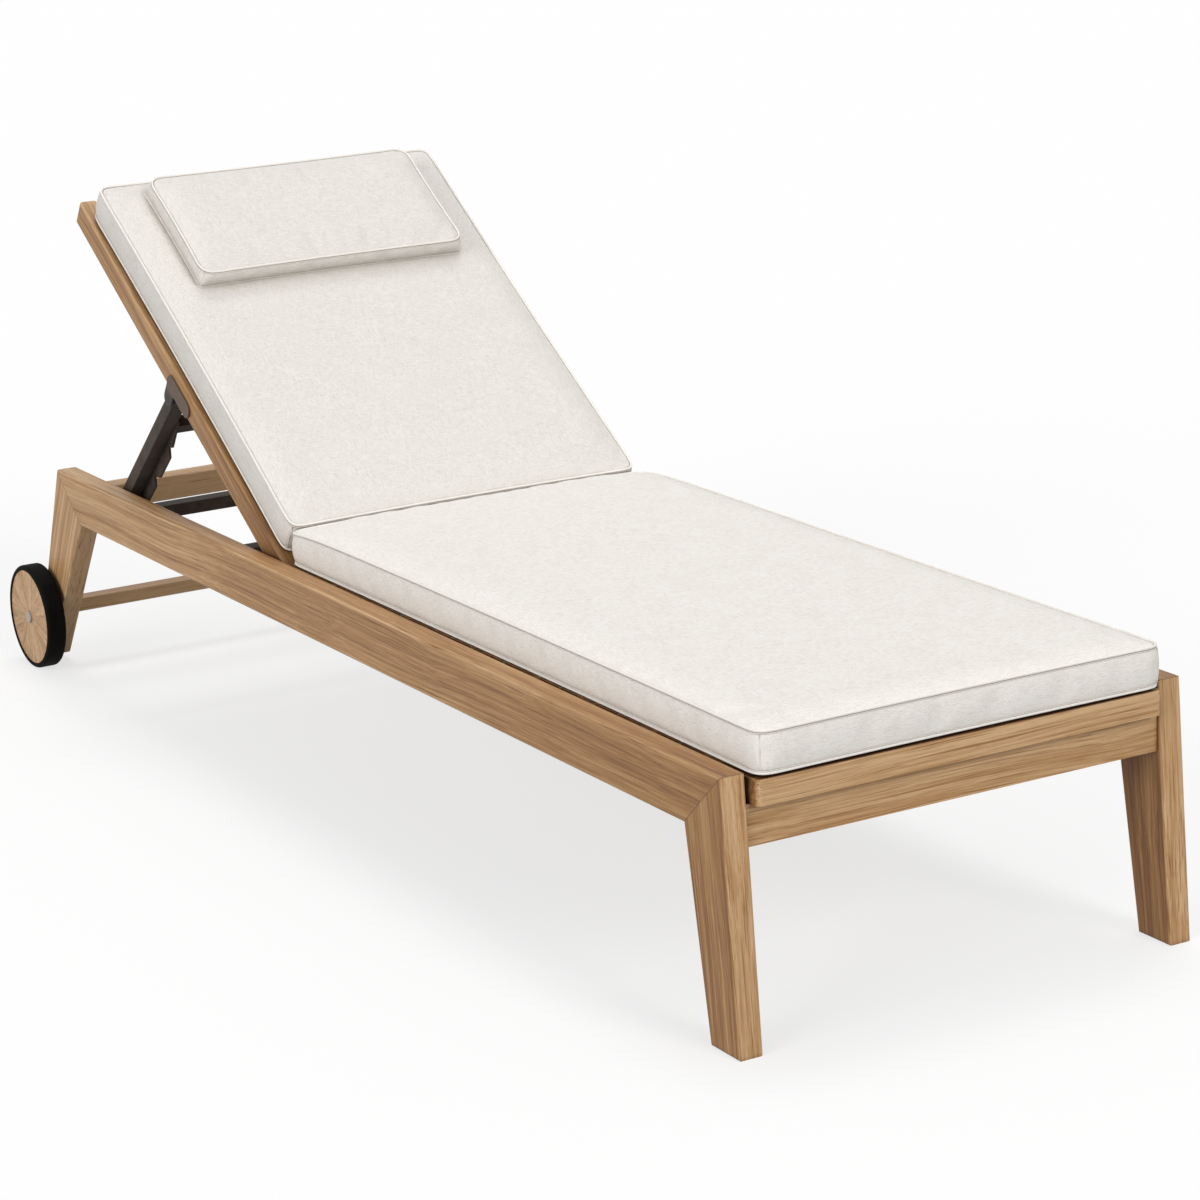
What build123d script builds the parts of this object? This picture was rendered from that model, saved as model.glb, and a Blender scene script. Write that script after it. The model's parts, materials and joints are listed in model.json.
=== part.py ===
from build123d import *
from math import asin, atan2, degrees, hypot
import os

# A teak sun lounger with a reclining back on a ratchet prop, two wheels and loose cushions.
# Every length is in millimetres. X runs across, +Y runs from the foot to the head, +Z is up.
# Pieces are drawn with Y counted from the foot, and moved to the middle of the length at the end.
# Left is the -X side.

# Side frames: a rail mitred to a foot leg and to a head leg that leans back over the wheel
frame_width = 680
frame_stock = 35
rail_top = 345
rail_height = 77
rail_length = 2006
mitre_width = 84
foot_rake = 24
foot_leg_foot = 63
head_rake = 140
head_leg_foot = 50
head_leg_floor_gap = 12
frame_arris = 4
mitre_overrun = 30

# Dowels hidden in the four mitres
dowel_radius = 6
dowel_length = 44
dowel_place_shares = (0.4, 0.72)

# Seat deck
seat_slat_count = 8
seat_slat_thickness = 20
seat_slat_gap = 35
seat_slat_end_gap = 6
seat_slat_arris = 2
deck_below_rail = 3
seat_slats_from = 122
seat_slats_to_hinge = 34
ledger_depth = 20
ledger_height = 25
ledger_from = 100
ledger_to_hinge = 39

# Foot end: a rounded front slat over a set-back apron
foot_slat_thickness = 33
foot_slat_depth = 80
foot_slat_set_back = 8
foot_slat_below_rail = 7
foot_slat_corner = 8
foot_slat_arris = 3
apron_thickness = 20
apron_height = 53
apron_set_back = 18

# Head end: an upper rail and a low stretcher between the head legs
head_rail_depth = 38
head_rail_height = 40
head_rail_below_top = 34
head_rail_inset = 2.5
stretcher_depth = 28
stretcher_height = 23
stretcher_floor_gap = 90
stretcher_inset = 7
cross_arris = 3

# Steel crossbars with welded end flanges
bar_depth = 30
bar_height = 20
bar_wall = 2
flange_thickness = 4
flange_depth = 84
flange_height = 32
ratchet_bar_to_head = 180
ratchet_bar_top = 310
middle_bar_from_hinge = 256
middle_bar_top = 300

# Screws
screw_head_radius = 4.5
screw_head_height = 2.5
screw_radius = 2.2
screw_length = 30
screw_recess = 0.5
ledger_screw_shares = (0.1, 0.5, 0.9)
bracket_screw_shares = (0.4, 0.75)
hole_overrun = 20
overrun = 5

# Backrest frame, drawn flat: Y along the rails from the hinge line, Z out of the lying face
back_side_gap = 5
back_rail_width = 30
back_rail_depth = 40
back_rail_length = 812
back_arris = 5
hinge_from_rail_end = 751
recline = 33.5
back_slat_count = 5
back_slat_gap = 28
back_slat_thickness = 18
back_slat_recess = 1
back_end_rail_width = 50
back_end_rail_thickness = 29
back_end_rail_from = 24
tenon_length = 14
tenon_inset = 4
tenon_side_inset = 8

# Backrest hinge
hinge_pin_radius = 6
hinge_pin_in_rail = 25
hinge_pin_head_radius = 9
hinge_pin_head = 3
hinge_bracket_thickness = 3
hinge_bracket_length = 80
hinge_bracket_height = 34
hinge_bracket_ahead = 20
running_fit = 0.05
side_play = 0.5

# Prop pivot under each backrest rail
prop_pivot_along = 413
prop_pivot_below = 33
pivot_plate_thickness = 3
pivot_plate_length = 84
pivot_plate_width = 26
pivot_plate_lead = 15
pivot_plate_drop = 5
pivot_ear_radius = 13
pivot_pin_radius = 5
pivot_pin_head_radius = 8
pivot_pin_head = 3
plate_screw_radius = 1.6
plate_screw_head_radius = 3.2
plate_screw_head = 2.2
plate_screw_length = 11

# Ratchet prop: two arms, a crossbar and two toothed plates
prop_hook_offset = 18.4
prop_arm_past_hook = 9
prop_arm_depth = 21
prop_arm_play = 3
prop_arm_wall = 2
prop_eye_radius = 12
prop_bar_from_pivot = 72
prop_bar_depth = 20
prop_bar_below = 12
plate_thickness = 4
plate_from_pivot = 62
plate_past_hook = 26
plate_back = 9
plate_ramp = 75
plate_reach = 30
plate_end_reach = 29
notch_count = 3
notch_pitch = 87
notch_clearance = 1.6
notch_cut = 60
rivet_radius = 2.5
rivet_head_radius = 5
rivet_head = 2
rivet_grip = 3
rivet_count = 3

# Backrest travel, from the raised position down to nearly flat
lowest_recline = 6

# Wheels: a teak disc in a rubber tyre, on a stub axle
wheel_radius = 86
disc_radius = 78
wheel_width = 32
wheel_gap = 5
disc_inset = 3
disc_outer_inset = 2
tyre_arris = 5
axle_radius = 6
axle_set_back = 8
axle_head = 4
axle_head_radius = 10
axle_collar_play = 0.3
bush_radius = 8
bush_outer_inset = 3
axle_end_inset = 5
hub_cap_radius = 10
hub_cap_height = 4
hub_cap_dome = 1.5

# Cushions
seat_cushion_side_inset = 6.5
back_cushion_side_inset = 14
cushion_thickness = 54
cushion_clearance = 0.3
cushion_crown = 6
crown_overrun = 1.5
cushion_draw = 4
cushion_edge = 12
cushion_corner = 22
seat_cushion_front = 4
seat_cushion_to_hinge = 29
back_cushion_from = 18
back_cushion_end_inset = 30
pillow_width = 454
pillow_length = 228
pillow_from_end = 33
pillow_thickness = 30
pillow_crown = 8
pillow_draw = 5
pillow_edge = 8
pillow_corner = 24

# Worked-out places of the side frames
half_width = frame_width / 2
inner_half = half_width - frame_stock
rail_low = rail_top - rail_height
head_corner = foot_rake + rail_length
foot_inner = foot_rake + mitre_width
head_inner = head_corner - mitre_width
head_foot_back = head_corner + head_rake
head_foot_inner = head_foot_back - head_leg_foot

# Worked-out places of the deck, the hinge and the prop
deck_top = rail_top - deck_below_rail
deck_low = deck_top - seat_slat_thickness
hinge_y = head_corner - hinge_from_rail_end
hinge_z = deck_top - back_rail_depth / 2
back_half = inner_half - back_side_gap
back_inner = back_half - back_rail_width
seat_cushion_width = 2 * (inner_half - seat_cushion_side_inset)
back_cushion_width = 2 * (inner_half - back_cushion_side_inset)
back_cushion_length = back_rail_length - back_cushion_from - back_cushion_end_inset
seat_slat_half = inner_half - seat_slat_end_gap
ratchet_bar_back = head_corner - ratchet_bar_to_head
back_place = Pos(0, hinge_y, hinge_z) * Rot(recline, 0, 0)
pivot_point = (back_place * Pos(0, prop_pivot_along, -prop_pivot_below)).position

# The prop leans so that the ratchet crossbar's rear top corner sits a set distance under its arms
hook_y = ratchet_bar_back - pivot_point.Y
hook_z = pivot_point.Z - ratchet_bar_top
hook_reach = hypot(hook_y, hook_z)
prop_lean = degrees(atan2(hook_z, hook_y) - asin(prop_hook_offset / hook_reach))
hook_along = (hook_reach ** 2 - prop_hook_offset ** 2) ** 0.5
prop_arm_length = hook_along + prop_arm_past_hook
prop_place = Pos(0, pivot_point.Y, pivot_point.Z) * Rot(-prop_lean, 0, 0)
arm_outer = back_half - prop_arm_play
arm_inner = back_inner + prop_arm_play
plate_inner = arm_inner - plate_thickness

# Worked-out places of the wheels
wheel_inner = half_width + wheel_gap
wheel_outer = wheel_inner + wheel_width


def head_leg_inner_y(height):
    """Where the head leg's front edge is at a height."""
    share = (rail_low - height) / (rail_low - head_leg_floor_gap)
    return head_inner + share * (head_foot_inner - head_inner)


def head_leg_back_y(height):
    """Where the head leg's rear edge is at a height."""
    share = (rail_top - height) / (rail_top - head_leg_floor_gap)
    return head_corner + share * head_rake


axle_y = (head_leg_inner_y(wheel_radius) + head_leg_back_y(wheel_radius)) / 2 + axle_set_back
overall_length = axle_y + wheel_radius


def block(x_low, x_high, y_low, y_high, z_low, z_high):
    """A square-edged block between six planes."""
    corner = (Align.MIN, Align.MIN, Align.MIN)
    return Pos(x_low, y_low, z_low) * Box(x_high - x_low, y_high - y_low, z_high - z_low, align=corner)


def slab(outline, x_low, x_high):
    """A slab with an outline in Y and Z, between two X planes."""
    plane = Plane(origin=(x_low, 0, 0), x_dir=(0, 1, 0), z_dir=(1, 0, 0))
    return extrude(plane * outline, amount=x_high - x_low)


def polygon(points):
    """A face with straight sides."""
    return make_face(Polyline(*points, close=True))


def rod(radius, x_low, x_high, y=0, z=0):
    """A round bar along X."""
    bar = Cylinder(radius, x_high - x_low, align=(Align.CENTER, Align.CENTER, Align.MIN))
    return Pos(x_low, y, z) * Rot(0, 90, 0) * bar


def round_long_edges(piece, axis, radius):
    """The piece with its edges along one axis rounded."""
    return fillet(piece.edges().filter_by(axis), radius=radius)


def round_side_loops(piece, radius):
    """A slab with the edges of its two X faces rounded."""
    faces = piece.faces().sort_by(Axis.X)
    return fillet(faces[0].edges() + faces[-1].edges(), radius=radius)


def mirrored(piece):
    """The same piece on the +X side."""
    return mirror(piece, about=Plane.YZ)


# Side frames

def mitre_plane(outer, inner):
    """The plane of a mitre, facing up into the rail."""
    along = Vector(0, inner[0] - outer[0], inner[1] - outer[1])
    normal = Vector(1, 0, 0).cross(along)
    if normal.Z < 0:
        normal = -normal
    return Plane(origin=(0, outer[0], outer[1]), x_dir=(1, 0, 0), z_dir=normal)


foot_mitre_points = ((foot_rake, rail_top), (foot_inner, rail_low))
head_mitre_points = ((head_corner, rail_top), (head_inner, rail_low))


def beyond(low, high):
    """A point on a leg's edge, carried on above the mitre."""
    share = (rail_top + mitre_overrun - low[1]) / (high[1] - low[1])
    return (low[0] + share * (high[0] - low[0]), low[1] + share * (high[1] - low[1]))


def side_leg(outer_foot, inner_foot, mitre_points):
    """A left leg with rounded edges, cut off at its mitre."""
    outer, inner = mitre_points
    outline = polygon([outer_foot, inner_foot, beyond(inner_foot, inner), beyond(outer_foot, outer)])
    whole = round_side_loops(slab(outline, -half_width, -inner_half), frame_arris)
    return split(whole, bisect_by=mitre_plane(outer, inner), keep=Keep.BOTTOM)


def side_frame():
    """The left side frame as three mitred pieces."""
    rail = block(-half_width, -inner_half, foot_rake - mitre_overrun, head_corner + mitre_overrun,
                 rail_low, rail_top)
    rail = round_side_loops(rail, frame_arris)
    for points in (foot_mitre_points, head_mitre_points):
        rail = split(rail, bisect_by=mitre_plane(*points), keep=Keep.TOP)
    foot_leg = side_leg((0, 0), (foot_leg_foot, 0), foot_mitre_points)
    head_leg = side_leg((head_foot_back, head_leg_floor_gap), (head_foot_inner, head_leg_floor_gap),
                        head_mitre_points)
    return {"side_rail": rail, "foot_leg": foot_leg, "head_leg": head_leg}


def mitre_dowels():
    """Two dowels across each left mitre."""
    dowels = []
    for outer, inner in (foot_mitre_points, head_mitre_points):
        plane = mitre_plane(outer, inner)
        for share in dowel_place_shares:
            y = outer[0] + share * (inner[0] - outer[0])
            z = outer[1] + share * (inner[1] - outer[1])
            place = Plane(origin=(-half_width + frame_stock / 2, y, z), x_dir=plane.x_dir, z_dir=plane.z_dir)
            dowels.append(place.location * Cylinder(dowel_radius, dowel_length))
    return dowels


# Deck, foot end and head end

def slat_width(low, high, count, gap):
    """The width of each of several slats that fill a span with gaps between them."""
    return (high - low - (count - 1) * gap) / count


seat_slat_width = slat_width(seat_slats_from, hinge_y - seat_slats_to_hinge, seat_slat_count, seat_slat_gap)


def seat_slat_middles():
    """The Y of the middle of each seat slat, from the foot towards the hinge."""
    first = seat_slats_from + seat_slat_width / 2
    pitch = seat_slat_width + seat_slat_gap
    return [first + index * pitch for index in range(seat_slat_count)]


def seat_slats():
    """Cross boards of the seat."""
    slats = {}
    for index, y in enumerate(seat_slat_middles()):
        y_low = y - seat_slat_width / 2
        board = block(-seat_slat_half, seat_slat_half, y_low, y_low + seat_slat_width, deck_low, deck_top)
        slats[f"seat_slat_{index + 1}"] = round_long_edges(board, Axis.X, seat_slat_arris)
    return slats


foot_slat_top = rail_top - foot_slat_below_rail
foot_slat_low = foot_slat_top - foot_slat_thickness
ledger_to = hinge_y - ledger_to_hinge


def foot_end():
    """The rounded front slat and the apron that carries it."""
    y_low = foot_slat_set_back
    slat = block(-seat_slat_half, seat_slat_half, y_low, y_low + foot_slat_depth,
                 foot_slat_low, foot_slat_top)
    slat = round_long_edges(slat, Axis.Z, foot_slat_corner)
    slat = fillet(slat.faces().sort_by(Axis.Z)[-1].edges(), radius=foot_slat_arris)
    front = foot_slat_set_back + apron_set_back
    apron = block(-inner_half, inner_half, front, front + apron_thickness,
                  foot_slat_low - apron_height, foot_slat_low)
    return {"foot_slat": slat, "foot_apron": apron}


def seat_ledger():
    """The left strip that carries the seat slats."""
    return block(-inner_half, -inner_half + ledger_depth, ledger_from, ledger_to,
                 deck_low - ledger_height, deck_low)


def head_end():
    """The upper rail and the low stretcher between the head legs."""
    rail_z = rail_top - head_rail_below_top
    rail_back = head_leg_back_y(rail_z) - head_rail_inset
    rail = block(-inner_half, inner_half, rail_back - head_rail_depth, rail_back,
                 rail_z - head_rail_height, rail_z)
    low = stretcher_floor_gap
    front = head_leg_inner_y(low) + stretcher_inset
    stretcher = block(-inner_half, inner_half, front, front + stretcher_depth, low, low + stretcher_height)
    return {
        "head_rail": round_long_edges(rail, Axis.X, cross_arris),
        "head_stretcher": round_long_edges(stretcher, Axis.X, cross_arris),
    }


# Steel crossbars

def crossbar(y_middle, z_top):
    """A flat steel tube across the frame, welded to an end flange at each side."""
    half = inner_half - flange_thickness
    y_low = y_middle - bar_depth / 2
    y_high = y_middle + bar_depth / 2
    z_low = z_top - bar_height
    tube = block(-half, half, y_low, y_high, z_low, z_top)
    bore = block(-half, half, y_low + bar_wall, y_high - bar_wall, z_low + bar_wall, z_top - bar_wall)
    z_middle = z_top - bar_height / 2
    flange = block(-inner_half, -half, y_middle - flange_depth / 2, y_middle + flange_depth / 2,
                   z_middle - flange_height / 2, z_middle + flange_height / 2)
    return (tube - bore) + flange + mirrored(flange)


ratchet_bar_middle = ratchet_bar_back - bar_depth / 2
middle_bar_middle = hinge_y + middle_bar_from_hinge


# Screws, each drawn with its head's seat at the origin and its head up

def screw(head_radius, head_height, radius, length):
    """One pan-headed screw along Z."""
    base = (Align.CENTER, Align.CENTER, Align.MIN)
    top = (Align.CENTER, Align.CENTER, Align.MAX)
    return Cylinder(head_radius, head_height, align=base) + Cylinder(radius, length, align=top)


def screw_hole(head_radius, head_height, radius, length):
    """The hole for a screw, with a counterbore that stays open above its head."""
    return screw(head_radius, head_height + hole_overrun, radius, length)


frame_screw_sizes = (screw_head_radius, screw_head_height, screw_radius, screw_length)
plate_screw_sizes = (plate_screw_head_radius, plate_screw_head, plate_screw_radius, plate_screw_length)
sunk = screw_head_height + screw_recess


def deck_screw_places():
    """Two screws through each seat slat into the ledgers."""
    x = inner_half - ledger_depth / 2
    z = deck_top - sunk
    return [Pos(side * x, y, z) for y in seat_slat_middles() for side in (-1, 1)]


def foot_screw_places():
    """Screws through the front slat into the apron."""
    y = foot_slat_set_back + apron_set_back + apron_thickness / 2
    z = foot_slat_top - foot_slat_thickness / 2
    return [Pos(side * inner_half / 2, y, z) for side in (-1, 1)]


def ledger_screw_places():
    """Three screws through each ledger into its side rail."""
    places = []
    z = deck_low - ledger_height / 2
    for share in ledger_screw_shares:
        y = ledger_from + share * (ledger_to - ledger_from)
        x = inner_half - ledger_depth + sunk
        places.append(Pos(-x, y, z) * Rot(0, 90, 0))
        places.append(Pos(x, y, z) * Rot(0, -90, 0))
    return places


def flange_screw_places():
    """Two screws through each crossbar flange, their heads standing proud of it."""
    places = []
    x = inner_half - flange_thickness
    spread = (flange_depth + bar_depth) / 4
    for y_middle, z_top in ((ratchet_bar_middle, ratchet_bar_top), (middle_bar_middle, middle_bar_top)):
        z = z_top - bar_height / 2
        for y in (y_middle - spread, y_middle + spread):
            places.append(Pos(-x, y, z) * Rot(0, 90, 0))
            places.append(Pos(x, y, z) * Rot(0, -90, 0))
    return places


def bracket_screw_places():
    """Two flush screws through each hinge bracket."""
    places = []
    x = inner_half - hinge_bracket_thickness + screw_head_height
    span = hinge_bracket_length - hinge_bracket_ahead
    for share in bracket_screw_shares:
        y = hinge_y + share * span
        places.append(Pos(-x, y, hinge_z) * Rot(0, 90, 0))
        places.append(Pos(x, y, hinge_z) * Rot(0, -90, 0))
    return places


# Hinge between the frame and the backrest

def hinge_bracket():
    """The left steel plate on the rail, with rounded ends."""
    middle = hinge_y - hinge_bracket_ahead + hinge_bracket_length / 2
    outline = Pos(middle, hinge_z) * SlotOverall(hinge_bracket_length, hinge_bracket_height)
    return slab(outline, -inner_half, -inner_half + hinge_bracket_thickness)


def hinge_pin():
    """The left hinge pin, held in the side rail, with a head inside the backrest rail."""
    head_from = -back_inner + side_play
    pin = rod(hinge_pin_radius, -inner_half - hinge_pin_in_rail, head_from, hinge_y, hinge_z)
    return pin + rod(hinge_pin_head_radius, head_from, head_from + hinge_pin_head, hinge_y, hinge_z)


# Backrest, drawn flat about the hinge line

def back_rail():
    """The left backrest rail, with a round lower end about the hinge."""
    half = back_rail_depth / 2
    bar = Pos(back_rail_length / 2, 0) * Rectangle(back_rail_length, back_rail_depth)
    outline = bar + Circle(half)
    rail = round_side_loops(slab(outline, -back_half, -back_inner), back_arris)
    return rail


def back_board(y_low, y_high, thickness):
    """A cross board with a tenon at each end, its face just under the rails' face."""
    z_high = back_rail_depth / 2 - back_slat_recess
    z_low = z_high - thickness
    board = block(-back_inner, back_inner, y_low, y_high, z_low, z_high)
    board = round_long_edges(board, Axis.X, seat_slat_arris)
    reach = back_inner + tenon_length
    tenon = block(-reach, reach, y_low + tenon_side_inset, y_high - tenon_side_inset,
                  z_low + tenon_inset, z_high - tenon_inset)
    return board + tenon


def back_boards():
    """The lower rail, the slats and the upper rail of the backrest."""
    low_end = back_end_rail_from + back_end_rail_width
    high_start = back_rail_length - back_end_rail_width
    width = slat_width(low_end + back_slat_gap, high_start - back_slat_gap, back_slat_count, back_slat_gap)
    boards = {
        "back_lower_rail": back_board(back_end_rail_from, low_end, back_end_rail_thickness),
        "back_upper_rail": back_board(high_start, back_rail_length, back_end_rail_thickness),
    }
    for index in range(back_slat_count):
        y = low_end + back_slat_gap + index * (width + back_slat_gap)
        boards[f"back_slat_{index + 1}"] = back_board(y, y + width, back_slat_thickness)
    return boards


def pivot_ear_outline():
    """The part of a pivot plate that hangs below the rail round the prop's pin."""
    top = -pivot_plate_drop
    neck = Pos(prop_pivot_along, (top - prop_pivot_below) / 2)
    neck = neck * Rectangle(2 * pivot_ear_radius, prop_pivot_below + top)
    return neck + Pos(prop_pivot_along, -prop_pivot_below) * Circle(pivot_ear_radius)


def pivot_plate():
    """The left outer pivot plate: a rounded plate on the rail with an ear."""
    middle = prop_pivot_along + pivot_plate_lead - pivot_plate_length / 2
    face = Pos(middle, -pivot_plate_drop) * SlotOverall(pivot_plate_length, pivot_plate_width)
    return slab(face + pivot_ear_outline(), -back_half - pivot_plate_thickness, -back_half)


def pivot_ear():
    """The left inner pivot ear."""
    return slab(pivot_ear_outline(), -back_inner, -back_inner + pivot_plate_thickness)


def pivot_pin():
    """The left prop pin, flush outside and headed inside."""
    head_from = -back_inner + pivot_plate_thickness
    pin = rod(pivot_pin_radius, -back_half - pivot_plate_thickness, head_from,
              prop_pivot_along, -prop_pivot_below)
    head = rod(pivot_pin_head_radius, head_from, head_from + pivot_pin_head,
               prop_pivot_along, -prop_pivot_below)
    return pin + head


def plate_screw_places():
    """Flush screws that hold the left pivot plate and ear to the rail."""
    outer_x = -back_half - pivot_plate_thickness + plate_screw_head
    inner_x = -back_inner + pivot_plate_thickness - plate_screw_head
    middle = prop_pivot_along + pivot_plate_lead - pivot_plate_length / 2
    spread = pivot_plate_length / 4
    side = pivot_ear_radius / 2
    z = -pivot_plate_drop - plate_screw_head_radius
    places = [Pos(outer_x, y, z) * Rot(0, -90, 0) for y in (middle - spread, middle + spread)]
    places += [Pos(inner_x, y, z) * Rot(0, 90, 0) for y in (prop_pivot_along - side, prop_pivot_along + side)]
    return places


# Ratchet prop, drawn flat with Y down the arm from its pivot and -Z towards the foot

def prop_arm():
    """The left arm: a square tube with a round eye, open at its lower end."""
    half = prop_arm_depth / 2
    bar = Pos(prop_arm_length / 2, 0) * Rectangle(prop_arm_length, prop_arm_depth)
    arm = slab(bar + Circle(prop_eye_radius), -arm_outer, -arm_inner)
    bore = block(-arm_outer + prop_arm_wall, -arm_inner - prop_arm_wall, 2 * prop_eye_radius, prop_arm_length,
                 -half + prop_arm_wall, half - prop_arm_wall)
    return arm - bore - rod(pivot_pin_radius + running_fit, -arm_outer, -arm_inner)


def ratchet_corner():
    """The rear top corner of the ratchet crossbar, in the prop's own frame."""
    return (prop_place.inverse() * Pos(0, ratchet_bar_back, ratchet_bar_top)).position


def ratchet_plate():
    """The left toothed plate. Its lowest notch sits over the ratchet crossbar's rear top corner."""
    corner = ratchet_corner()
    end = corner.Y + plate_past_hook
    half = prop_arm_depth / 2
    blank = polygon([
        (plate_from_pivot, plate_back),
        (plate_from_pivot, -half),
        (plate_from_pivot + plate_ramp, -plate_reach),
        (end - plate_back, -plate_end_reach),
        (end, -plate_end_reach + plate_back),
        (end, plate_back),
    ])
    plate = slab(blank, -arm_inner, -plate_inner)
    y_high = ratchet_bar_back + notch_clearance
    z_high = ratchet_bar_top + notch_clearance
    notch = block(-arm_inner - overrun, -plate_inner + overrun, y_high - notch_cut, y_high,
                  z_high - notch_cut, z_high)
    notch = prop_place.inverse() * notch
    for index in range(notch_count):
        plate -= Pos(0, -index * notch_pitch, 0) * notch
    return plate


def prop_crossbar():
    """The square bar that joins the two arms."""
    y_low = prop_bar_from_pivot
    return block(-plate_inner, plate_inner, y_low, y_low + prop_bar_depth, -prop_bar_below,
                 prop_bar_depth - prop_bar_below)


def plate_rivets():
    """Rivets that hold the left plate to its arm."""
    first = plate_from_pivot + plate_ramp
    last = prop_arm_length - rivet_head_radius - prop_arm_wall
    rivets = []
    for index in range(rivet_count):
        y = first + (last - first) * index / (rivet_count - 1)
        shank = rod(rivet_radius, -arm_inner - rivet_grip, -plate_inner, y, 0)
        rivets.append(shank + rod(rivet_head_radius, -plate_inner, -plate_inner + rivet_head, y, 0))
    return rivets


# Wheels

def wheel():
    """The pieces of the left wheel."""
    face = -wheel_outer + disc_outer_inset
    disc = rod(disc_radius, face, -wheel_inner - disc_inset, axle_y, wheel_radius)
    disc -= rod(bush_radius, face, -wheel_inner, axle_y, wheel_radius)
    tyre = rod(wheel_radius, -wheel_outer, -wheel_inner, axle_y, wheel_radius)
    tyre = fillet(tyre.edges().filter_by(GeomType.CIRCLE), radius=tyre_arris)
    tyre -= rod(disc_radius, -wheel_outer, -wheel_inner, axle_y, wheel_radius)
    bush_face = -wheel_outer + bush_outer_inset
    bush = rod(bush_radius, bush_face, -wheel_inner, axle_y, wheel_radius)
    bush -= rod(axle_radius + running_fit, bush_face, -wheel_inner, axle_y, wheel_radius)
    cap = rod(hub_cap_radius, face - hub_cap_height, face, axle_y, wheel_radius)
    cap = fillet(cap.edges().sort_by(Axis.X)[0], radius=hub_cap_dome)
    return {"wheel_disc": disc, "wheel_tyre": tyre, "wheel_bush": bush, "hub_cap": cap}


def wheel_axle():
    """The left stub axle: a bolt through the head leg, with a collar that spaces the wheel."""
    end = -wheel_outer + axle_end_inset
    axle = rod(axle_radius, end, -inner_half, axle_y, wheel_radius)
    collar = rod(axle_head_radius, -wheel_inner + axle_collar_play, -half_width, axle_y, wheel_radius)
    head = rod(axle_head_radius, -inner_half, -inner_half + axle_head, axle_y, wheel_radius)
    return axle + collar + head


# Cushions

def cushion(width, length, height, crown, draw, edge, corner):
    """A soft-edged cushion on Z = 0 from Y = 0: a crowned top, and sides drawn in between round corners."""
    half = width / 2
    plan = make_face([
        ThreePointArc((-half, 0), (0, draw), (half, 0)),
        ThreePointArc((half, 0), (half - draw, length / 2), (half, length)),
        ThreePointArc((half, length), (0, length - draw), (-half, length)),
        ThreePointArc((-half, length), (-half + draw, length / 2), (-half, 0)),
    ])
    body = extrude(fillet(plan.vertices(), radius=corner), amount=height + crown + crown_overrun)
    faces = body.faces().sort_by(Axis.Z)
    body = fillet(faces[0].edges() + faces[-1].edges(), radius=edge)
    reach = hypot(width, length) / 2
    radius = (reach ** 2 + crown ** 2) / (2 * crown)
    dome = Pos(0, length / 2, height + crown - radius) * Rot(0, 90, 0) * Sphere(radius)
    return body & dome


def back_cushion():
    """The back cushion, lying on the backrest frame."""
    body = cushion(back_cushion_width, back_cushion_length, cushion_thickness, cushion_crown, cushion_draw,
                   cushion_edge, cushion_corner)
    return Pos(0, back_cushion_from, back_rail_depth / 2 + cushion_clearance) * body


def seat_cushion():
    """The seat cushion, lying on the slats."""
    length = hinge_y - seat_cushion_to_hinge - seat_cushion_front
    body = cushion(seat_cushion_width, length, cushion_thickness, cushion_crown, cushion_draw,
                   cushion_edge, cushion_corner)
    return Pos(0, seat_cushion_front, deck_top + cushion_clearance) * body


def headrest_pillow():
    """The small pillow on the upper end of the back cushion."""
    body = cushion(pillow_width, pillow_length, pillow_thickness, pillow_crown, pillow_draw,
                   pillow_edge, pillow_corner)
    y = back_cushion_from + back_cushion_length - pillow_from_end - pillow_length
    z = back_rail_depth / 2 + cushion_thickness + cushion_crown + 2 * cushion_clearance
    return Pos(0, y, z) * body


# Assembly

def both_sides(name, piece):
    """A left piece and its mirrored right piece, under two names."""
    return {f"{name}_left": piece, f"{name}_right": mirrored(piece)}


def group(solids):
    """Identical solids of both sides kept in one node."""
    return gathered([*solids, *[mirrored(solid) for solid in solids]])


def gathered(pieces):
    """Several pieces as one shape."""
    return Compound([solid for piece in pieces for solid in piece.solids()])


def build_frame():
    """Everything that stands still."""
    side = side_frame()
    dowels = mitre_dowels()
    pin = hinge_pin()
    axle = wheel_axle()
    bracket = hinge_bracket() - pin
    ledger = seat_ledger()
    slats = seat_slats()
    ends = {**foot_end(), **head_end()}
    bars = {
        "ratchet_crossbar": crossbar(ratchet_bar_middle, ratchet_bar_top),
        "middle_crossbar": crossbar(middle_bar_middle, middle_bar_top),
    }
    for dowel in dowels:
        side = {name: piece - dowel for name, piece in side.items()}
    side["side_rail"] -= pin
    side["head_leg"] -= axle
    frame = {}
    for name, piece in {**side, "seat_ledger": ledger, "hinge_bracket": bracket}.items():
        frame.update(both_sides(name, piece))
    frame.update({**slats, **ends, **bars})
    places = {
        "deck": deck_screw_places(),
        "foot": foot_screw_places(),
        "ledger": ledger_screw_places(),
        "flange": flange_screw_places(),
        "bracket": bracket_screw_places(),
    }
    drilled = {
        "deck": list(slats) + ["seat_ledger_left", "seat_ledger_right"],
        "foot": ["foot_slat", "foot_apron"],
        "ledger": ["seat_ledger_left", "seat_ledger_right", "side_rail_left", "side_rail_right"],
        "flange": ["ratchet_crossbar", "middle_crossbar", "side_rail_left", "side_rail_right"],
        "bracket": ["hinge_bracket_left", "hinge_bracket_right", "side_rail_left", "side_rail_right"],
    }
    screws = []
    for kind, spots in places.items():
        holes = [spot * screw_hole(*frame_screw_sizes) for spot in spots]
        for name in drilled[kind]:
            near = [hole for hole in holes if boxes_meet(hole, frame[name])]
            if near:
                frame[name] = frame[name] - near
        screws += [spot * screw(*frame_screw_sizes) for spot in spots]
    frame["frame_screws"] = gathered(screws)
    frame["corner_dowels"] = group(dowels)
    frame["hinge_pins"] = group([pin])
    frame["wheel_axles"] = group([axle])
    frame["seat_cushion"] = seat_cushion()
    return frame


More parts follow.
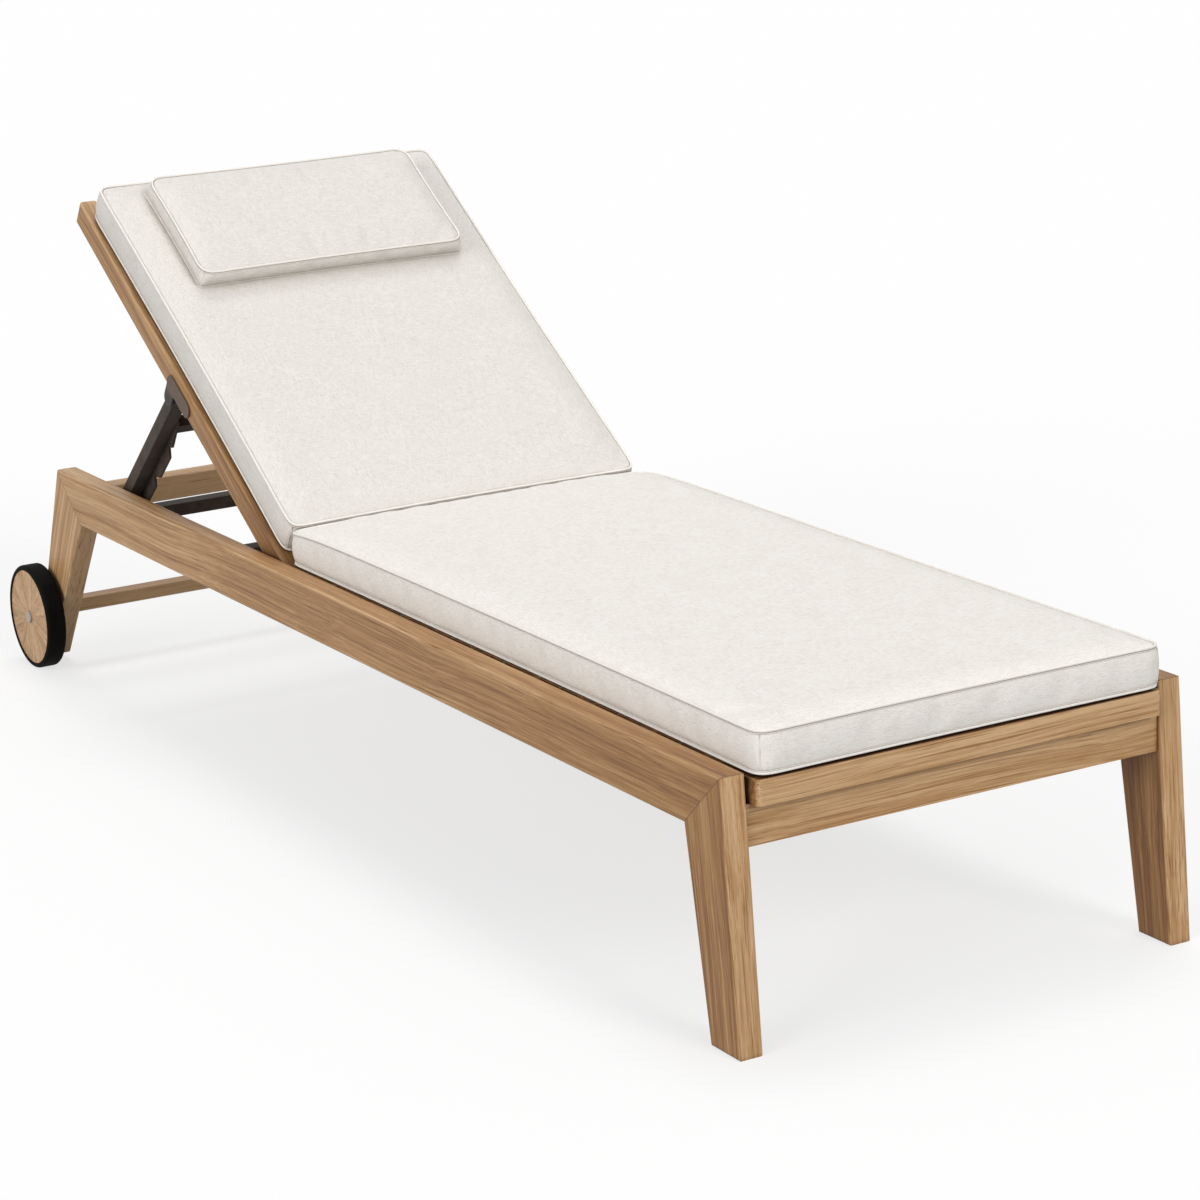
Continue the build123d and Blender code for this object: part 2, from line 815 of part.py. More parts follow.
def boxes_meet(first, second):
    """Whether two pieces' bounding boxes overlap."""
    a = first.bounding_box()
    b = second.bounding_box()
    return all((
        a.min.X < b.max.X, b.min.X < a.max.X,
        a.min.Y < b.max.Y, b.min.Y < a.max.Y,
        a.min.Z < b.max.Z, b.min.Z < a.max.Z,
    ))


def build_backrest():
    """Everything that reclines, still flat about the hinge line."""
    rail = back_rail() - rod(hinge_pin_radius + running_fit, -back_half, -back_inner)
    boards = back_boards()
    for board in boards.values():
        rail -= board
    plate = pivot_plate()
    ear = pivot_ear()
    pin = pivot_pin()
    plate -= pin
    ear -= pin
    screws = []
    for spot in plate_screw_places():
        hole = spot * screw_hole(*plate_screw_sizes)
        rail -= hole
        plate -= hole
        ear -= hole
        screws.append(spot * screw(*plate_screw_sizes))
    back = {}
    for name, piece in {"back_rail": rail, "pivot_plate": plate}.items():
        back.update(both_sides(name, piece))
    back.update(boards)
    back["pivot_ears"] = group([ear])
    back["pivot_pins"] = group([pin])
    back["plate_screws"] = group(screws)
    back["back_cushion"] = back_cushion()
    back["headrest_pillow"] = headrest_pillow()
    return {name: back_place * piece for name, piece in back.items()}


def build_prop():
    """The ratchet prop."""
    arm = prop_arm()
    plate = ratchet_plate()
    rivets = plate_rivets()
    for rivet in rivets:
        arm -= rivet
        plate -= rivet
    prop = {}
    for name, piece in {"prop_arm": arm, "ratchet_plate": plate}.items():
        prop.update(both_sides(name, piece))
    prop["prop_crossbar"] = prop_crossbar()
    prop["plate_rivets"] = group(rivets)
    return {name: prop_place * piece for name, piece in prop.items()}


def build_wheels():
    """Both wheels."""
    wheels = {}
    for name, piece in wheel().items():
        wheels.update(both_sides(name, piece))
    return wheels


os.makedirs("parts", exist_ok=True)
middle = Pos(0, -overall_length / 2, 0)
for node, solid in {**build_frame(), **build_backrest(), **build_prop(), **build_wheels()}.items():
    export_step(middle * solid, f"parts/{node}.step")

# Places that the record repeats, printed in metres
metre = 1000
shift = overall_length / 2
print("hinge", 0, (hinge_y - shift) / metre, hinge_z / metre)
print("prop pivot", 0, (pivot_point.Y - shift) / metre, pivot_point.Z / metre)
print("wheel axle", (axle_y - shift) / metre, wheel_radius / metre)
print("recline travel", lowest_recline - recline, "prop fold", recline + prop_lean)
print("coupling ratio", (recline + prop_lean) / (lowest_recline - recline))
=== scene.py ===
import json
import math

import bpy
from mathutils import Matrix, Vector


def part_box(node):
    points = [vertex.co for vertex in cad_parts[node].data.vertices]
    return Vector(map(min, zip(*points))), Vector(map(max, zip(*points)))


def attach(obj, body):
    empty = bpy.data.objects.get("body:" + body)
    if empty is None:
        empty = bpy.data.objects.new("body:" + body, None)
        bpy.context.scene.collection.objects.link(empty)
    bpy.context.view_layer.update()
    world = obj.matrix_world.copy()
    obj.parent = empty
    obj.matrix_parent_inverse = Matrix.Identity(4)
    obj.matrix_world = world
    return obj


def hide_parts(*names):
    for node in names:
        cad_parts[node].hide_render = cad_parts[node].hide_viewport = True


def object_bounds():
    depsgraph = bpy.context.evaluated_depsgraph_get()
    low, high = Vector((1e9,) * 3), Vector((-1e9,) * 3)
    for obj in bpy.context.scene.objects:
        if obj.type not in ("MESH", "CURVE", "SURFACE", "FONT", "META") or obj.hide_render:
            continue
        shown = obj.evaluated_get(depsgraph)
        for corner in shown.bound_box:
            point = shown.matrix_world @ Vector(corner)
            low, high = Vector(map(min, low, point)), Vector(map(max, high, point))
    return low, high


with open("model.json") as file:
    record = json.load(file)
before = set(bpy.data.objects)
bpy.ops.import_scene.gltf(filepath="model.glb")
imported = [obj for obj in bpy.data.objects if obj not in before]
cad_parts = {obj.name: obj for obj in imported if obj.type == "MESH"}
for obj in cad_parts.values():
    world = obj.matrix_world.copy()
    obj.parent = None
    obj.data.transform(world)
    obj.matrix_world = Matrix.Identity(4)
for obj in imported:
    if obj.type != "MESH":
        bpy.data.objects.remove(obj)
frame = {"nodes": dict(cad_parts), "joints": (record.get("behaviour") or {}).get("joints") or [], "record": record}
cad_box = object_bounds()
nodes = frame["nodes"]
joints = {joint["name"]: joint for joint in frame["joints"]}
hinge = Vector(joints["backrest_hinge"]["pos_m"])
recline = math.radians(33.5)
back_normal = Vector((0, -math.sin(recline), math.cos(recline)))
back_place = Matrix.Translation(hinge) @ Matrix.Rotation(recline, 4, "X")
foot_end = cad_box[0][1]

# Camera: place and angles from a perspective fit of the photograph's corners

camera_place = Vector((-2.43898, foot_end - 3.358675, 1.64855))
camera_yaw = 0.52272
camera_pitch = 0.26606
camera_roll = -0.03948
camera_lens = 108.465
sensor_width = 36
sight_end = 200


def make_camera():
    """The camera at the photograph's viewing angle."""
    data = bpy.data.cameras.new("camera")
    data.lens = camera_lens
    data.sensor_width = sensor_width
    data.sensor_fit = "HORIZONTAL"
    data.clip_end = sight_end
    forward = Vector((
        math.sin(camera_yaw) * math.cos(camera_pitch),
        math.cos(camera_yaw) * math.cos(camera_pitch),
        -math.sin(camera_pitch),
    ))
    level = Vector((math.cos(camera_yaw), -math.sin(camera_yaw), 0))
    above = level.cross(forward)
    cosine = math.cos(camera_roll)
    sine = math.sin(camera_roll)
    right = cosine * level + sine * above
    up = cosine * above - sine * level
    turn = Matrix((right, up, -forward)).transposed().to_4x4()
    camera = bpy.data.objects.new("camera", data)
    camera.matrix_world = Matrix.Translation(camera_place) @ turn
    bpy.context.scene.collection.objects.link(camera)
    bpy.context.scene.camera = camera


# Small helpers for nodes

plain = (1, 1, 1, 1)

# Sockets of a Mix node that mixes colours
mix_share = 0
mix_first = 6
mix_second = 7
mix_result = 2

# Painted shade in creases: the openness at which it is darkest, and at which it ends
painted_shade_deepest = 0.15
painted_shade_end = 0.75
painted_shade_samples = 6


def srgb(red, green, blue):
    """A linear colour from 0 to 255 display values."""
    def linear(value):
        share = value / 255
        return share / 12.92 if share <= 0.04045 else ((share + 0.055) / 1.055) ** 2.4
    return (linear(red), linear(green), linear(blue), 1)


def grey(level):
    """A linear grey."""
    return (level, level, level, 1)


class Tree:
    """The nodes of a material or a world, made and linked in one call each."""

    def __init__(self, owner):
        owner.use_nodes = True
        self.owner = owner
        self.nodes = owner.node_tree.nodes
        self.links = owner.node_tree.links
        self.shader = self.nodes.get("Principled BSDF")

    def put(self, value, socket):
        """Link an output to a socket, or set the socket's value."""
        if isinstance(value, bpy.types.NodeSocket):
            self.links.new(value, socket)
        else:
            socket.default_value = value

    def node(self, kind, out=0, inputs=None, **settings):
        """One node, and the output of it that is used."""
        made = self.nodes.new(kind)
        for key, value in settings.items():
            setattr(made, key, value)
        for key, value in (inputs or {}).items():
            self.put(value, made.inputs[key])
        return made.outputs[out]

    def place(self):
        """Object coordinates, which stay with the piece."""
        return self.node("ShaderNodeTexCoord", "Object")

    def map(self, vector, location=(0, 0, 0), rotation=(0, 0, 0), scale=(1, 1, 1)):
        """A moved, turned or stretched vector."""
        return self.node("ShaderNodeMapping", inputs={
            "Vector": vector, "Location": location, "Rotation": rotation, "Scale": scale})

    def noise(self, vector, scale=1, detail=2, roughness=0.5):
        """The value of a noise texture."""
        return self.node("ShaderNodeTexNoise", "Fac", {
            "Vector": vector, "Scale": scale, "Detail": detail, "Roughness": roughness})

    def math(self, operation, first, second=0.0, third=0.0):
        """A sum on plain values."""
        return self.node("ShaderNodeMath", inputs={0: first, 1: second, 2: third}, operation=operation)

    def plus(self, level, share, value):
        """A level with a share of a value added."""
        return self.math("MULTIPLY_ADD", value, share, level)

    def vector(self, operation, first, second=(0, 0, 0)):
        """A sum on vectors."""
        return self.node("ShaderNodeVectorMath", inputs={0: first, 1: second}, operation=operation)

    def dot(self, first, second):
        """The dot product of two vectors."""
        return self.node("ShaderNodeVectorMath", "Value", {0: first, 1: second}, operation="DOT_PRODUCT")

    def split(self, vector):
        """A vector's X, Y and Z."""
        return tuple(self.node("ShaderNodeSeparateXYZ", inputs={0: vector}).node.outputs)

    def ramp(self, value, stops):
        """A colour from a value, through stops of (place, colour)."""
        made = self.nodes.new("ShaderNodeValToRGB")
        elements = made.color_ramp.elements
        while len(elements) < len(stops):
            elements.new(0.5)
        for element, (place, colour) in zip(elements, stops):
            element.position = place
            element.color = colour
        self.put(value, made.inputs["Fac"])
        return made.outputs["Color"]

    def blend(self, share, first, second, kind="MIX"):
        """Two colours mixed."""
        made = self.nodes.new("ShaderNodeMix")
        made.data_type = "RGBA"
        made.blend_type = kind
        self.put(share, made.inputs[mix_share])
        self.put(first, made.inputs[mix_first])
        self.put(second, made.inputs[mix_second])
        return made.outputs[mix_result]

    def tint(self, colour, other, share=1.0):
        """The colour multiplied by another one."""
        return self.blend(share, colour, other, "MULTIPLY")

    def painted_crease_shade(self, colour, reach, deepest):
        """The colour with painted shade, darker where the surface meets another within reach."""
        openness = self.node("ShaderNodeAmbientOcclusion", "AO", {"Distance": reach}, samples=painted_shade_samples)
        return self.tint(colour, self.ramp(openness, [(painted_shade_deepest, deepest), (painted_shade_end, plain)]))

    def bump(self, height, strength, distance):
        """A bumped normal for the shader."""
        normal = self.node("ShaderNodeBump", inputs={
            "Height": height, "Strength": strength, "Distance": distance})
        self.put(normal, self.shader.inputs["Normal"])

    def looked_at(self):
        """1 for a ray that shows the thing, straight or through gloss or glass, and 0 for one that lights."""
        path = self.nodes.new("ShaderNodeLightPath").outputs
        shown = self.math("MAXIMUM", path["Is Camera Ray"], path["Is Glossy Ray"])
        return self.math("MAXIMUM", shown, path["Is Transmission Ray"])

    def finish(self, colour, roughness, metallic=0.0, specular=0.5):
        """The shader's colour and plain values."""
        self.put(colour, self.shader.inputs["Base Color"])
        self.put(roughness, self.shader.inputs["Roughness"])
        self.shader.inputs["Metallic"].default_value = metallic
        self.shader.inputs["Specular IOR Level"].default_value = specular
        return self.owner


def material_tree(name):
    """The nodes of a new material."""
    return Tree(bpy.data.materials.new(name))


def give(piece, material):
    """One material on a whole piece."""
    if not piece.data.materials:
        piece.data.materials.append(material)
    for slot in piece.material_slots:
        slot.link = "OBJECT"
        slot.material = material


# Teak

teak_dark = srgb(120, 80, 43)
teak_brown = srgb(157, 114, 69)
teak_honey = srgb(182, 142, 97)
teak_light = srgb(207, 171, 129)
teak_stops = [(0.38, teak_dark), (0.5, teak_brown), (0.6, teak_honey), (0.72, teak_light)]
line_stops = [(0.33, (0.58, 0.46, 0.36, 1)), (0.42, plain)]
line_share = 0.8
pore_stops = [(0.3, (0.72, 0.66, 0.6, 1)), (0.42, plain)]
pore_share = 0.6
# Painted highlight on the rounded arrises
arris_highlight_stops = [(0.86, (1.12, 1.24, 1.46, 1)), (0.975, plain)]
# Painted shade where another surface lies within reach
painted_joint_shade = (0.2, 0.14, 0.1, 1)

# Stretch of each layer of the grain, which runs along Y
wander_stretch = (3, 1.7, 3)
band_stretch = (48, 0.9, 48)
streak_stretch = (230, 2.4, 230)
line_stretch = (400, 3.6, 400)
fibre_stretch = (900, 16, 900)
pore_stretch = (1500, 40, 1500)

# How far the grain wanders, and how far apart two pieces lie in it
wander_size = (0.03, 0, 0.03)
piece_step = (0.37, 1.93, 0.71)

# Share of each layer in the tone, and of the painted light on a face that looks along the lounger
band_share = 0.34
streak_share = 0.56
fibre_share = 0.2
facing_painted_light = 0.18

# Tone of single pieces, in part painted light: the foot apron, the far foot leg and the back rails are darker as
# painted shade and the head rail lighter as painted light; the deck under the cushion is darker as painted shade
tones_and_painted_light = {
    "foot_slat": -0.03, "foot_apron": -0.085,
    "foot_leg_left": -0.005, "foot_leg_right": -0.06,
    "side_rail_left": -0.025, "side_rail_right": -0.025,
    "head_rail": 0.05,
    "back_rail_left": -0.17, "back_rail_right": -0.17,
}
painted_deck_shade = -0.12

# How far the pieces differ in tone, from one to the next
tone_swing = 0.02
tone_step = 2.4

# How much the wood pales towards the head, in tone per metre
frame_head_tone = 0.045
back_head_tone = 0.24

# How near another piece has to be for painted shade in a crease
narrow_reach = 0.012
wide_reach = 0.03

# Mitres of the side frames, each given by its outer and inner corner in Y and Z
rail_top = 0.345
rail_low = 0.268
mitre_width = 0.084
mitre_line_width = 0.0009
mitre_line_share = 0.45
mitre_brown = srgb(84, 56, 34)

# Rise and run of the legs, from the floor to the mitre
foot_leg_rise = 0.306
foot_leg_run = 0.0345
head_leg_rise = 0.294
head_leg_run = -0.157


def mitre(outer, inner):
    """A mitre's plane as a point and a normal."""
    along = Vector((0, inner - outer, rail_low - rail_top)).normalized()
    return Vector((0, outer, rail_top)), Vector((1, 0, 0)).cross(along)


rail_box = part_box("side_rail_left")
foot_mitre = mitre(rail_box[0].y, rail_box[0].y + mitre_width)
head_mitre = mitre(rail_box[1].y, rail_box[1].y - mitre_width)


def mitres_of(name):
    """The mitres that a piece has."""
    if name.startswith("side_rail"):
        return (foot_mitre, head_mitre)
    if name.startswith("foot_leg"):
        return (foot_mitre,)
    if name.startswith("head_leg"):
        return (head_mitre,)
    return ()


def grain_place(tree, at, turn, seed):
    """Where the grain is read: the piece's length along Y, its own part of the wood, a slow wander."""
    place = tree.map(at, rotation=turn)
    place = tree.map(place, location=tuple(seed * step for step in piece_step))
    wander = tree.node("ShaderNodeTexNoise", "Color", {
        "Vector": tree.map(place, scale=wander_stretch), "Scale": 1, "Detail": 2})
    wander = tree.vector("MULTIPLY", tree.vector("SUBTRACT", wander, (0.5, 0.5, 0.5)), wander_size)
    return tree.vector("ADD", place, wander)


def mitre_lines(tree, colour, at, mitres):
    """The colour, with a thin dark line in each mitre's plane."""
    for point, normal in mitres:
        away = tree.dot(tree.vector("SUBTRACT", at, point), normal)
        near = tree.math("LESS_THAN", tree.math("ABSOLUTE", away), mitre_line_width)
        colour = tree.blend(tree.math("MULTIPLY", near, mitre_line_share), colour, mitre_brown)
    return colour


def painted_arris_highlights(tree, colour, facing, turn):
    """The colour with a painted highlight, lighter where the surface looks squarely along none of the piece's own
    axes.
    """
    x, y, z = tree.split(tree.vector("ABSOLUTE", tree.map(facing, rotation=turn)))
    squareness = tree.math("MAXIMUM", x, tree.math("MAXIMUM", y, z))
    return tree.tint(colour, tree.ramp(squareness, arris_highlight_stops))


def teak(name, turn, seed, tone, mitres, reach, head_tone):
    """Teak with its grain along the piece: turn takes the piece's length to Y.

    Faces that look along the lounger get painted light and are paler, the wood pales towards the head by
    head_tone, the arrises get a painted highlight, and painted shade darkens it where another surface lies within
    reach.
    """
    tree = material_tree(name)
    at = tree.place()
    facing = tree.node("ShaderNodeTexCoord", "Normal")
    place = grain_place(tree, at, turn, seed)
    bands = tree.noise(tree.map(place, scale=band_stretch))
    streaks = tree.noise(tree.map(place, scale=streak_stretch), detail=4, roughness=0.7)
    lines = tree.noise(tree.map(place, scale=line_stretch))
    fibres = tree.noise(tree.map(place, scale=fibre_stretch), roughness=0.6)
    pores = tree.noise(tree.map(place, scale=pore_stretch), detail=1)
    along = tree.split(at)[1]
    across = tree.split(facing)[1]
    value = tree.plus(tone, band_share, bands)
    value = tree.plus(value, streak_share, streaks)
    value = tree.plus(value, fibre_share, fibres)
    # Painted light: faces that look along the lounger are paler
    value = tree.plus(value, facing_painted_light, tree.math("MULTIPLY", across, across))
    value = tree.plus(value, head_tone, along)
    colour = tree.ramp(value, teak_stops)
    colour = tree.tint(colour, tree.ramp(lines, line_stops), line_share)
    colour = tree.tint(colour, tree.ramp(pores, pore_stops), pore_share)
    colour = mitre_lines(tree, colour, at, mitres)
    # Painted highlight on the arrises
    colour = painted_arris_highlights(tree, colour, facing, turn)
    # Painted shade in creases and where pieces meet
    colour = tree.painted_crease_shade(colour, reach, painted_joint_shade)
    height = tree.plus(tree.math("MULTIPLY", pores, 0.5), 0.5, fibres)
    tree.bump(height, strength=0.25, distance=0.0006)
    return tree.finish(colour, tree.plus(0.38, 0.2, streaks), specular=0.35)


def dress_teak():
    """Teak on every wooden CAD node, each with its own piece of grain."""
    along = (0, 0, 0)
    across = (0, 0, math.pi / 2)
    foot_leg = (-math.atan2(foot_leg_rise, foot_leg_run), 0, 0)
    head_leg = (-math.atan2(head_leg_rise, head_leg_run), 0, 0)
    up_the_back = (-recline, 0, 0)
    turns = {
        "side_rail_left": along, "side_rail_right": along,
        "seat_ledger_left": along, "seat_ledger_right": along,
        "foot_leg_left": foot_leg, "foot_leg_right": foot_leg,
        "head_leg_left": head_leg, "head_leg_right": head_leg,
        "back_rail_left": up_the_back, "back_rail_right": up_the_back,
        "foot_slat": across, "foot_apron": across,
        "head_rail": across, "head_stretcher": across,
        "back_lower_rail": across, "back_upper_rail": across,
    }
    turns.update({name: across for name in nodes if "slat_" in name})
    for index, (name, turn) in enumerate(sorted(turns.items())):
        # Piece tones, some of them painted light or shade
        tone = tone_swing * math.sin(tone_step * index) + tones_and_painted_light.get(name, 0)
        # The deck under the cushion gets painted shade
        if name.startswith(("seat_slat", "seat_ledger")):
            tone = painted_deck_shade
        # Wider painted shade on the back rails beside the cushion and on the apron under the slat
        reach = wide_reach if name.startswith(("back_rail", "foot_apron")) else narrow_reach
        head_tone = back_head_tone if name.startswith("back_rail") else frame_head_tone
        give(nodes[name], teak("teak_" + name, turn, index + 1, tone, mitres_of(name), reach, head_tone))


# Metal, rubber and plastic

# Where the pivot plates' ears begin, off the hinge and square to the back: brown down to ear_from and
# black from ear_black. A ramp takes no value below 0, so the distance is read with ear_shift added.
ear_shift = 0.5
ear_from = -0.019
ear_black = -0.023


def coated_steel():
    """Dark powder coat with a fine orange peel and rubbed brighter in places."""
    tree = material_tree("coated_steel")
    place = tree.place()
    cloud = tree.noise(place, scale=26, detail=4, roughness=0.6)
    colour = tree.ramp(cloud, [(0.35, srgb(62, 54, 48)), (0.65, srgb(82, 73, 66))])
    # Painted shade where another surface lies within reach
    colour = tree.painted_crease_shade(colour, 0.02, (0.35, 0.33, 0.3, 1))
    tree.bump(tree.noise(place, scale=900), strength=0.2, distance=0.0004)
    return tree.finish(colour, tree.plus(0.55, 0.2, cloud), specular=0.15)


def plate_steel():
    """The pivot plates' coat: brown where it lies on the rail, and black on the ear below the rail."""
    tree = material_tree("plate_steel")
    place = tree.place()
    cloud = tree.noise(place, scale=60, detail=4, roughness=0.6)
    colour = tree.ramp(cloud, [(0.35, srgb(80, 61, 47)), (0.65, srgb(96, 75, 59))])
    off_rail = tree.dot(tree.vector("SUBTRACT", place, hinge), back_normal)
    on_rail = tree.ramp(tree.math("ADD", off_rail, ear_shift), [
        (ear_shift + ear_black, grey(0)), (ear_shift + ear_from, plain)])
    colour = tree.blend(on_rail, srgb(40, 34, 30), colour)
    tree.bump(tree.noise(place, scale=900), strength=0.2, distance=0.0004)
    return tree.finish(colour, tree.plus(0.42, 0.2, cloud), specular=0.4)


def bright_steel():
    """Stainless screws and pins."""
    tree = material_tree("bright_steel")
    scratches = tree.noise(tree.map(tree.place(), scale=(200, 1600, 1600)))
    colour = tree.ramp(scratches, [(0.3, srgb(140, 135, 128)), (0.7, srgb(180, 175, 168))])
    tree.bump(scratches, strength=0.1, distance=0.0002)
    return tree.finish(colour, tree.plus(0.25, 0.2, scratches), metallic=1.0)


def rubber():
    """Black tyre rubber with a dusty bloom."""
    tree = material_tree("tyre_rubber")
    place = tree.place()
    bloom = tree.noise(place, scale=40, detail=5, roughness=0.65)
    colour = tree.ramp(bloom, [(0.35, srgb(11, 10, 9)), (0.7, srgb(20, 18, 16))])
    tree.bump(tree.noise(place, scale=1400), strength=0.3, distance=0.0004)
    return tree.finish(colour, tree.plus(0.6, 0.25, bloom), specular=0.05)


def grey_cap():
    """Moulded grey plastic."""
    tree = material_tree("cap_plastic")
    grain = tree.noise(tree.place(), scale=1800)
    colour = tree.ramp(grain, [(0.3, srgb(158, 148, 136)), (0.7, srgb(176, 166, 154))])
    tree.bump(grain, strength=0.15, distance=0.0003)
    return tree.finish(colour, 0.42)


def dowel_wood():
    """Plain beech."""
    tree = material_tree("dowel_wood")
    flecks = tree.noise(tree.map(tree.place(), scale=(600, 600, 60)))
    colour = tree.ramp(flecks, [(0.3, srgb(170, 128, 88)), (0.7, srgb(196, 156, 112))])
    tree.bump(flecks, strength=0.2, distance=0.0004)
    return tree.finish(colour, 0.6)


# The wheel discs' wood

wedge_count = 24
wedge_stops = [(0.34, srgb(150, 112, 76)), (0.48, srgb(190, 154, 114)), (0.62, srgb(214, 182, 142))]
ray_share = 0.55
broad_share = 0.3
wedge_share = 0.1
wedge_joint_stops = [(0.47, plain), (0.5, (0.8, 0.76, 0.72, 1))]
wedge_joint_share = 0.6
crack_stops = [(0.36, (0.66, 0.58, 0.5, 1)), (0.44, plain)]
crack_share = 0.8
# Painted highlight: the disc is lighter in a ring at its rim, from rim_from outwards
rim_from = 0.0765
rim_blur = 0.001
painted_rim_highlight = grey(1.25)


def wheel_teak(name, centre):
    """Teak wedges laid round the hub, their grain running outwards."""
    tree = material_tree(name)
    along, high = tree.split(tree.vector("SUBTRACT", tree.place(), centre))[1:]
    angle = tree.math("ARCTAN2", high, along)
    radius = tree.math("SQRT", tree.math("ADD", tree.math("MULTIPLY", along, along),
                                         tree.math("MULTIPLY", high, high)))
    wedge = tree.math("MULTIPLY", angle, wedge_count / math.tau)
    number = tree.math("FLOOR", wedge)
    within = tree.math("ABSOLUTE", tree.math("SUBTRACT", tree.math("SUBTRACT", wedge, number), 0.5))
    round_about = tree.node("ShaderNodeCombineXYZ", inputs={
        0: tree.math("COSINE", angle), 1: tree.math("SINE", angle),
        2: tree.math("MULTIPLY", radius, 3.0)})
    rays = tree.noise(round_about, scale=34, detail=4, roughness=0.7)
    broad = tree.noise(round_about, scale=7)
    cracks = tree.noise(round_about, scale=15, detail=3, roughness=0.6)
    tone = tree.node("ShaderNodeTexWhiteNoise", "Value", {"W": number}, noise_dimensions="1D")
    value = tree.plus(tree.math("MULTIPLY", broad, broad_share), ray_share, rays)
    value = tree.plus(value, wedge_share, tone)
    colour = tree.ramp(value, wedge_stops)
    colour = tree.tint(colour, tree.ramp(within, wedge_joint_stops), wedge_joint_share)
    colour = tree.tint(colour, tree.ramp(cracks, crack_stops), crack_share)
    # Painted highlight at the rim
    colour = tree.tint(colour, tree.ramp(radius, [(rim_from, plain), (rim_from + rim_blur, painted_rim_highlight)]))
    tree.bump(rays, strength=0.15, distance=0.0005)
    return tree.finish(colour, 0.5, specular=0.3)


def dress_rest():
    """The other CAD nodes' materials."""
    steel = coated_steel()
    by_slot = {
        "coated_steel": steel,
        "steel": bright_steel(),
        "tyre_rubber": rubber(),
        "cap_plastic": grey_cap(),
        "dowel_wood": dowel_wood(),
    }
    slots = {part["node"]: part["material_slot"] for part in frame["record"]["subparts"]}
    for name, node in nodes.items():
        if slots[name] in by_slot:
            give(node, by_slot[slots[name]])
    plate = plate_steel()
    give(nodes["plate_screws"], plate)
    give(nodes["pivot_pins"], steel)
    for side in ("left", "right"):
        give(nodes["pivot_plate_" + side], plate)
        low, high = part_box("wheel_disc_" + side)
        give(nodes["wheel_disc_" + side], wheel_teak("wheel_teak_" + side, (low + high) / 2))


# Cushion fabric

thread_stops = [(0.34, srgb(212, 205, 195)), (0.5, srgb(236, 232, 226)), (0.66, srgb(246, 243, 239))]
mottle_stops = [(0.3, (0.95, 0.94, 0.93, 1)), (0.7, plain)]
mottle_share = 0.6
# Painted shade in folds and where another surface lies within reach
painted_fold_shade = (0.46, 0.4, 0.34, 1)
sheen = 0.15
sheen_roughness = 0.5


def linen(name, turn, tone, reach):
    """Off-white heathered weave. turn lays the cushion flat, so that the threads follow its sides."""
    tree = material_tree(name)
    place = tree.map(tree.place(), rotation=turn)
    warp = tree.noise(tree.map(place, scale=(90, 1500, 1500)), roughness=0.6)
    weft = tree.noise(tree.map(place, scale=(1500, 90, 1100)), roughness=0.6)
    cloud = tree.noise(place, scale=22, detail=4, roughness=0.62)
    threads = tree.math("MULTIPLY", tree.math("ADD", warp, weft), 0.5)
    colour = tree.ramp(threads, thread_stops)
    colour = tree.tint(colour, tree.ramp(cloud, mottle_stops), mottle_share)
    # Painted shade: a tone below 1 darkens the whole cushion
    colour = tree.tint(colour, grey(tone))
    # Painted shade where another surface lies within reach
    colour = tree.painted_crease_shade(colour, reach, painted_fold_shade)
    tree.bump(threads, strength=0.35, distance=0.0006)
    tree.shader.inputs["Sheen Weight"].default_value = sheen
    tree.shader.inputs["Sheen Roughness"].default_value = sheen_roughness
    return tree.finish(colour, 0.88, specular=0.15)


def piped(name, turn):
    """The piping's fabric, a little lighter and smoother than the panels."""
    tree = material_tree(name)
    threads = tree.noise(tree.map(tree.place(), rotation=turn), scale=1300, roughness=0.6)
    colour = tree.ramp(threads, [(0.35, srgb(226, 220, 212)), (0.6, srgb(244, 241, 236))])
    tree.bump(threads, strength=0.3, distance=0.0005)
    return tree.finish(colour, 0.85, specular=0.15)


def seam_painted_shade(name):
    """The sunk line of a seam, in the panels' cloth a little darker, as painted shade of its fold."""
    tree = material_tree(name)
    twist = tree.noise(tree.place(), scale=1600)
    colour = tree.ramp(twist, [(0.35, srgb(222, 215, 206)), (0.65, srgb(236, 231, 224))])
    tree.bump(twist, strength=0.3, distance=0.0004)
    return tree.finish(colour, 0.9, specular=0.1)


# Cushion shapes, built flat: X across, Y along, Z up from what they lie on

# Sizes of the seams: how deep they are drawn in, and over what height
groove = 0.0028
near_seam = 0.0034
piping_inset = 0.0006
side_bulge = 0.002
stitch_from_seam = 0.003
seam_radius = 0.0007

# A panel's shoulder beside its seam and the dome over all of it
shoulder_reach = 0.012
low_shoulder_reach = 0.03
shoulder_share = 0.62
dome_share = 0.38

# The far end of a cushion with a dip: softer shoulders, and a lower seam, most of all at its corners
far_reach = 0.06
far_side_shoulder = 0.02
far_end_shoulder = 0.006
dip_end_reach = 0.05
dip_corner_reach = 0.07
dip_share = 0.5

# Rows of points
least_cells = 6
seam_cells = 2.6
side_rows = (0.3, 0.5, 0.7)
corner_seam_rows = (0.06, 0.2, 0.35, 0.5, 0.65, 0.8, 0.94)

# The cloth run
cloth_frames = 20
cloth_pressure = 5
cloth_cap = 0.005
cloth_shrink = -0.012


def corner_rounded(x, y, half_x, half_y, radius):
    """A point of a rectangle moved so that the rectangle's corners are round."""
    over_x = (abs(x) - half_x + radius) / radius
    over_y = (abs(y) - half_y + radius) / radius
    if over_x <= 0 or over_y <= 0:
        return x, y
    round_x = over_x * math.sqrt(1 - over_y * over_y / 2)
    round_y = over_y * math.sqrt(1 - over_x * over_x / 2)
    return (math.copysign(half_x - radius + radius * round_x, x),
            math.copysign(half_y - radius + radius * round_y, y))


